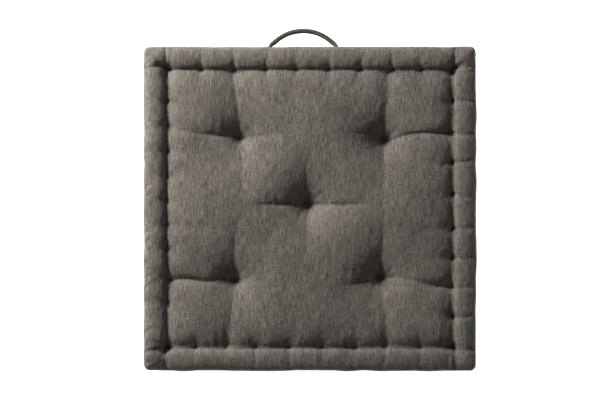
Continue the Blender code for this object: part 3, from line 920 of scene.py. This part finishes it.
# The filling
def slab(name, inset, step, levels, material):
    """A closed soft layer between two heights, with a rounded rim this far in from the body's sides."""
    half_x, half_y = HALF_WIDTH - inset, HALF_DEPTH - inset
    x, y = np.meshgrid(*[np.linspace(-half, half, round(2 * half / step) + 1) for half in (half_x, half_y)])
    edge = np.minimum(half_x - np.abs(x), half_y - np.abs(y))
    high, low = levels(x, y)
    middle = (high + low) / 2
    share = 0.35 + 0.65 * np.sqrt(1 - (1 - np.clip(edge / 0.012, 0, 1)) ** 2)
    points = []
    for level in (high, low):
        level = middle + (level - middle) * share
        points.append(np.column_stack([x.ravel(), y.ravel(), level.ravel()]) + MIDDLE)
    faces = grid_faces(*x.shape)
    faces += [tuple(x.size + i for i in reversed(f)) for f in faces]
    index = np.arange(x.size).reshape(x.shape)
    rim = [*index[0], *index[1:, -1], *index[-1, -2::-1], *index[-2:0:-1, 0]]
    for a, b in zip(rim, rim[1:] + rim[:1]):
        faces.append((x.size + a, x.size + b, b, a))
    piece = new_piece(name, np.vstack(points), faces, material)
    turn_outwards(piece)
    return piece


def core_height(x, y):
    """The core is flat, with a dip under each tuft and a low rim under the rolls."""
    away = np.clip(np.min(from_tufts(x, y), axis=0) - 0.007, 0, None)
    flat = 0.0375 - 0.62 * (0.028 * np.exp(-away / 0.022))
    level = np.where(from_edge(x, y) < GROOVE_INSET + 0.006, SIDE_GROOVE - 0.0015, flat)
    return level + 0.0006 * soft_noise(x, y, 0.012, 5)


def cloth_level(surface, face, x, y):
    """Height of the cloth over the middle, the lowest of each place and those beside it."""
    found = np.zeros_like(x)
    for index in np.ndindex(x.shape):
        place = np.array([x[index], y[index], face * HALF]) + MIDDLE
        found[index] = face * (on_cloth(surface, place, (0, 0, -face), 0)[2] - MIDDLE[2])
    padded = np.pad(found, 1, mode="edge")
    rows, columns = x.shape
    near = [padded[i : i + rows, j : j + columns] for i in range(3) for j in range(3)]
    return np.min(near, axis=0)


def core_levels(surfaces, x, y):
    found = []
    for face_name, face in FACES.items():
        cloth = cloth_level(surfaces[face_name], face, x, y)
        found.append(face * np.minimum(core_height(x, y), cloth - CORE_DROP))
    return found


def fibre_levels(surface, face, x, y):
    """The two heights of a fibre layer, the higher one first. One follows the cloth, and one the core."""
    cloth = cloth_level(surface, face, x, y)
    inside = np.minimum(core_height(x, y), cloth - CORE_DROP) + 0.0004
    outside = np.maximum(cloth - 0.003 + 0.0008 * soft_noise(x, y, 0.009, 7), inside + 0.0012)
    return (outside, inside) if face > 0 else (-inside, -outside)


def roll_centre():
    """The middle line of the stuffing in the rolls, as a level loop with rounded corners."""
    half_x, half_y, bend = HALF_WIDTH - 0.0215, HALF_DEPTH - 0.0215, 0.012
    path = []
    for sx, sy, first in ((1, -1, -90), (1, 1, 0), (-1, 1, 90), (-1, -1, 180)):
        for turn in np.radians(np.linspace(first, first + 90, 7)):
            px, py = bend * math.cos(turn), bend * math.sin(turn)
            path.append((sx * (half_x - bend) + px, sy * (half_y - bend) + py))
    full = []
    for (px, py), (qx, qy) in zip(path, path[1:] + path[:1]):
        count = max(1, round(math.hypot(qx - px, qy - py) / 0.009))
        full += [(px + (qx - px) * j / count, py + (qy - py) * j / count, 0) for j in range(count)]
    return np.array(full)


def make_roll_stuffing(name, surface, face, material):
    line, sides, rings = roll_centre(), 14, []
    out = outward(line)
    for step in range(sides):
        turn = math.tau * step / sides
        lump = 1 + 0.07 * soft_noise(line[:, 0] + step * 0.004, line[:, 1], 0.014, 21 + step % 3)
        away = out * (0.0125 * math.cos(turn) * lump)[:, None]
        up = np.array([[0, 0, 1.0]]) * (0.012 * math.sin(turn) * lump)[:, None]
        ring = line + away + up + (0, 0, face * 0.0345)
        level = cloth_level(surface, face, ring[:, :1], ring[:, 1:2])[:, 0] - 0.0035
        ring[:, 2] = face * np.minimum(face * ring[:, 2], level)
        rings.append(ring + MIDDLE)
    rope = tube(name, np.stack(rings, axis=1), material)
    return rope


def make_filling(felt, fibre, surfaces):
    core = slab("cotton_core", 0.0195, 0.006, lambda x, y: core_levels(surfaces, x, y), felt)
    on_cushion(core, "core_pad")
    for face_name, face in FACES.items():
        surface = surfaces[face_name]
        layer = slab(
            face_name + "_fibre_layer", 0.052, 0.007, lambda x, y: fibre_levels(surface, face, x, y), fibre
        )
        on_cushion(layer, face_name + "_wadding")
        rope = make_roll_stuffing(face_name + "_roll_stuffing", surface, face, fibre)
        on_cushion(rope, face_name + "_roll_filler")


# Materials
class Cloth:
    """A material's nodes, joined as they are added."""

    def __init__(self, name):
        self.material = bpy.data.materials.new(name)
        self.material.use_nodes = True
        self.tree = self.material.node_tree
        self.shader = self.tree.nodes["Principled BSDF"]

    def node(self, kind, **values):
        made = self.tree.nodes.new(kind)
        for key, value in values.items():
            if key in made.inputs:
                made.inputs[key].default_value = value
            else:
                setattr(made, key, value)
        return made

    def join(self, start, end):
        self.tree.links.new(start, end)

    def sum(self, operation, first, second):
        made = self.node("ShaderNodeMath", operation=operation)
        for k, value in enumerate((first, second)):
            if isinstance(value, (int, float)):
                made.inputs[k].default_value = value
            else:
                self.join(value, made.inputs[k])
        return made.outputs[0]

    def mixed(self, *parts):
        """The sum of parts, each a pattern, the level that counts as its middle, and its share."""
        total = None
        for pattern, middle, share in parts:
            level = self.sum("SUBTRACT", pattern, middle) if middle else pattern
            level = self.sum("MULTIPLY", level, share)
            total = level if total is None else self.sum("ADD", total, level)
        return total

    def shades(self, tone, colour, *stops):
        """A colour that follows the tone, through stops of a position and a share of the colour."""
        ramp = self.node("ShaderNodeValToRGB")
        elements = ramp.color_ramp.elements
        for k, (position, share) in enumerate(stops):
            element = elements[k] if k < 2 else elements.new(position)
            element.position = position
            element.color = (*[c * share for c in colour], 1)
        self.join(tone, ramp.inputs["Fac"])
        return ramp.outputs[0]

    def noise(self, vector, size, detail=3.0, stretch=(1, 1, 1), turn=0.0, roughness=0.55):
        mapping = self.node("ShaderNodeMapping")
        mapping.inputs["Scale"].default_value = [s / size for s in stretch]
        mapping.inputs["Rotation"].default_value = (0, 0, turn)
        self.join(vector, mapping.inputs["Vector"])
        made = self.node("ShaderNodeTexNoise", Scale=1.0, Detail=detail, Roughness=roughness)
        self.join(mapping.outputs[0], made.inputs["Vector"])
        return made.outputs["Fac"]

    def finish(self, colour, height, strength, distance, **sockets):
        self.join(colour, self.shader.inputs["Base Color"])
        bump = self.node("ShaderNodeBump", Strength=strength, Distance=distance)
        self.join(height, bump.inputs["Height"])
        self.join(bump.outputs[0], self.shader.inputs["Normal"])
        for name, value in sockets.items():
            self.shader.inputs[name.replace("_", " ")].default_value = value
        return self.material


def linen(name, colour, light, dark, roughness=0.92, sheen=0.12, thread=0.0011, nub=1.0):
    """Washed linen: uneven threads both ways, thick slubs, faded patches, rubbed ridges, and painted shade in
    the creases.
    """
    cloth = Cloth(name)
    place = cloth.node("ShaderNodeUVMap", uv_map="Cloth").outputs[0]
    slub_up = cloth.noise(place, 0.0017, 3.0, (1, 0.1, 1), roughness=0.6)
    slub_across = cloth.noise(place, 0.0018, 3.0, (0.15, 1, 1), roughness=0.6)
    nubs = cloth.noise(place, 0.0016, 3.0, (1, 0.6, 1), roughness=0.75)
    patches = cloth.noise(place, 0.024, 5.0, (1, 0.5, 1), 0.1)
    fades = cloth.noise(place, 0.09)
    wear_and_crease_shade = cloth.node("ShaderNodeAttribute", attribute_name="wear_and_crease_shade").outputs["Fac"]

    threads = []
    for way in "XY":
        wave = cloth.node(
            "ShaderNodeTexWave", wave_type="BANDS", bands_direction=way, Scale=math.pi / thread / 10,
            Distortion=1.6, Detail=2.0,
        )
        wave.inputs["Detail Scale"].default_value = 1.5
        cloth.join(place, wave.inputs["Vector"])
        threads.append(wave.outputs["Fac"])
    weave = cloth.sum("MULTIPLY", *threads)

    # The last part of the tone lightens raised ridges as rubbed wear and darkens creases with painted shade.
    tone = cloth.mixed(
        (slub_up, 0.5, 2.1 * nub), (slub_across, 0.5, 1.0 * nub), (nubs, 0.5, 1.9 * nub), (patches, 0.5, 0.5),
        (fades, 0.5, 0.5), (weave, 0.3, 0.25), (wear_and_crease_shade, 0, 0.28),
    )
    shown = cloth.shades(cloth.sum("ADD", tone, 0.5), colour, (0.02, dark), (0.98, light), (0.5, 1))
    height = cloth.mixed((slub_up, 0, 0.9), (slub_across, 0, 0.7), (nubs, 0, 1.0), (weave, 0, 0.35))
    return cloth.finish(
        shown, height, 0.85, 0.0009, Roughness=roughness, Sheen_Weight=sheen, Sheen_Roughness=0.45,
        Sheen_Tint=(0.95, 0.92, 0.88, 1), Specular_IOR_Level=0.18,
    )


def fibre(name, colour, size, strength):
    """Loose or felted fibres: fine hairs over soft lumps."""
    cloth = Cloth(name)
    place = cloth.node("ShaderNodeTexCoord").outputs["Object"]
    hairs = cloth.noise(place, size, 6.0, (1, 0.2, 1), 0.6, 0.7)
    more = cloth.noise(place, size * 1.4, 6.0, (0.25, 1, 1), 0.3, 0.7)
    lumps = cloth.noise(place, size * 9, 3.0)
    strands = cloth.mixed((hairs, 0, 0.5), (more, 0, 0.5))
    shown = cloth.shades(cloth.mixed((strands, 0, 0.7), (lumps, 0, 0.4)), colour, (0.35, 0.62), (0.75, 1))
    return cloth.finish(
        shown, strands, strength, 0.0015, Roughness=1.0, Sheen_Weight=0.2, Specular_IOR_Level=0.1
    )


def thread_finish(name, colour):
    """Waxed twisted thread."""
    cloth = Cloth(name)
    place = cloth.node("ShaderNodeTexCoord").outputs["Object"]
    hairs = cloth.noise(place, 0.0005, 4.0)
    flecks = cloth.noise(place, 0.004)
    shown = cloth.shades(cloth.mixed((hairs, 0, 0.6), (flecks, 0, 0.4)), colour, (0.3, 0.6), (0.7, 1.2))
    return cloth.finish(shown, hairs, 0.5, 0.0003, Roughness=0.62)


# Camera, floor and light
def make_camera():
    """Straight above the cushion, and high enough that its sides stay out of sight."""
    data = bpy.data.cameras.new("camera")
    data.sensor_width = 36.0
    data.lens = data.sensor_width * VIEW_HEIGHT * BODY_SHARE / (2 * HALF_WIDTH)
    camera = bpy.data.objects.new("camera", data)
    SCENE.collection.objects.link(camera)
    camera.location = MIDDLE + (*VIEW_SHIFT, VIEW_LEVEL + VIEW_HEIGHT)
    SCENE.camera = camera


def make_floor():
    bpy.ops.mesh.primitive_plane_add(size=12, location=(0, 0, -0.0006))
    floor = bpy.context.active_object
    floor.name = "studio_floor"
    made = bpy.data.materials.new("pale_floor")
    made.use_nodes = True
    shader = made.node_tree.nodes["Principled BSDF"]
    shader.inputs["Base Color"].default_value = (0.86, 0.86, 0.86, 1)
    shader.inputs["Roughness"].default_value = 0.9
    shader.inputs["Specular IOR Level"].default_value = 0.0
    shader.inputs["Emission Color"].default_value = (1, 1, 1, 1)
    shader.inputs["Emission Strength"].default_value = 1.0
    floor.data.materials.append(made)


def make_light(name, place, aim, size, power, colour):
    data = bpy.data.lights.new(name, "AREA")
    data.shape = "DISK"
    data.size = size
    data.energy = power
    data.color = colour
    light = bpy.data.objects.new(name, data)
    light.location = place
    light.rotation_mode = "QUATERNION"
    light.rotation_quaternion = (Vector(aim) - Vector(place)).to_track_quat("-Z", "Y")
    SCENE.collection.objects.link(light)


def make_studio():
    for name in ("Cube", "Light", "Camera"):
        if name in bpy.data.objects:
            bpy.data.objects.remove(bpy.data.objects[name])
    SCENE.view_settings.view_transform = "Standard"
    world = SCENE.world or bpy.data.worlds.new("studio")
    SCENE.world = world
    world.use_nodes = True
    background = world.node_tree.nodes["Background"]
    background.inputs["Color"].default_value = (0.97, 0.985, 1.0, 1)
    background.inputs["Strength"].default_value = 0.12
    make_light("soft_key", (-1.38, 1.14, 0.88), (0, 0, 0.08), 0.55, 74, (1.0, 0.985, 0.965))
    make_light("soft_top", (-0.4, 0.5, 3.2), (0, 0, 0.08), 1.0, 3, (1.0, 0.99, 0.98))
    make_light("right_fill", (2.3, 0.5, 1.2), (0, 0, 0.08), 0.9, 2.5, (1.0, 1.0, 1.0))


make_studio()
make_camera()
make_floor()

WASHED = linen("washed_linen", (0.146, 0.1315, 0.115), 1.66, 0.47)
# The seam linen is darker than the cover's: painted shade for the dark line along the outline.
SHADE_PAINTED_SEAM_LINEN = linen("seam_linen_painted_shade", (0.088, 0.08, 0.07), 1.6, 0.45, nub=0.8)
TIGHT = linen("handle_linen", (0.066, 0.066, 0.057), 1.6, 0.5, 0.85, 0.15, 0.0009, 0.8)
THREAD = thread_finish("waxed_thread", (0.085, 0.078, 0.068))
FELT = fibre("cotton_felt", (0.55, 0.51, 0.44), 0.0016, 0.7)
FLUFF = fibre("fibre_wadding", (0.74, 0.72, 0.67), 0.0022, 1.0)

covers = {face_name: make_cover(face_name, WASHED) for face_name in FACES}
for face_name, cover in covers.items():
    on_cushion(cover, face_name + "_panel")
loops = [outline_of(cover) for cover in covers.values()]
side_bands = make_side_bands(*loops, WASHED)
for side, band in side_bands.items():
    on_cushion(band, side + "_boxing")
for (face_name, face), loop in zip(FACES.items(), loops):
    on_cushion(make_edge_seam(face_name + "_edge_seam", loop, face, SHADE_PAINTED_SEAM_LINEN))

surfaces = {face_name: surface_of([cover]) for face_name, cover in covers.items()}
side_surface = surface_of(side_bands.values())
for face_name in FACES:
    for side in SIDES:
        stitching = make_roll_stitching(face_name, side, surfaces[face_name], side_surface, THREAD)
        on_cushion(stitching, f"{face_name}_roll_thread_{side}")
for name, place in zip(TUFTS, tuft_places()):
    on_cushion(make_tuft_twine(name, place, *surfaces.values(), THREAD), "tuft_tie_" + name)
make_handle(TIGHT)
make_handle_stitching("left", -1, THREAD)
make_handle_stitching("right", 1, THREAD)
make_filling(FELT, FLUFF, surfaces)
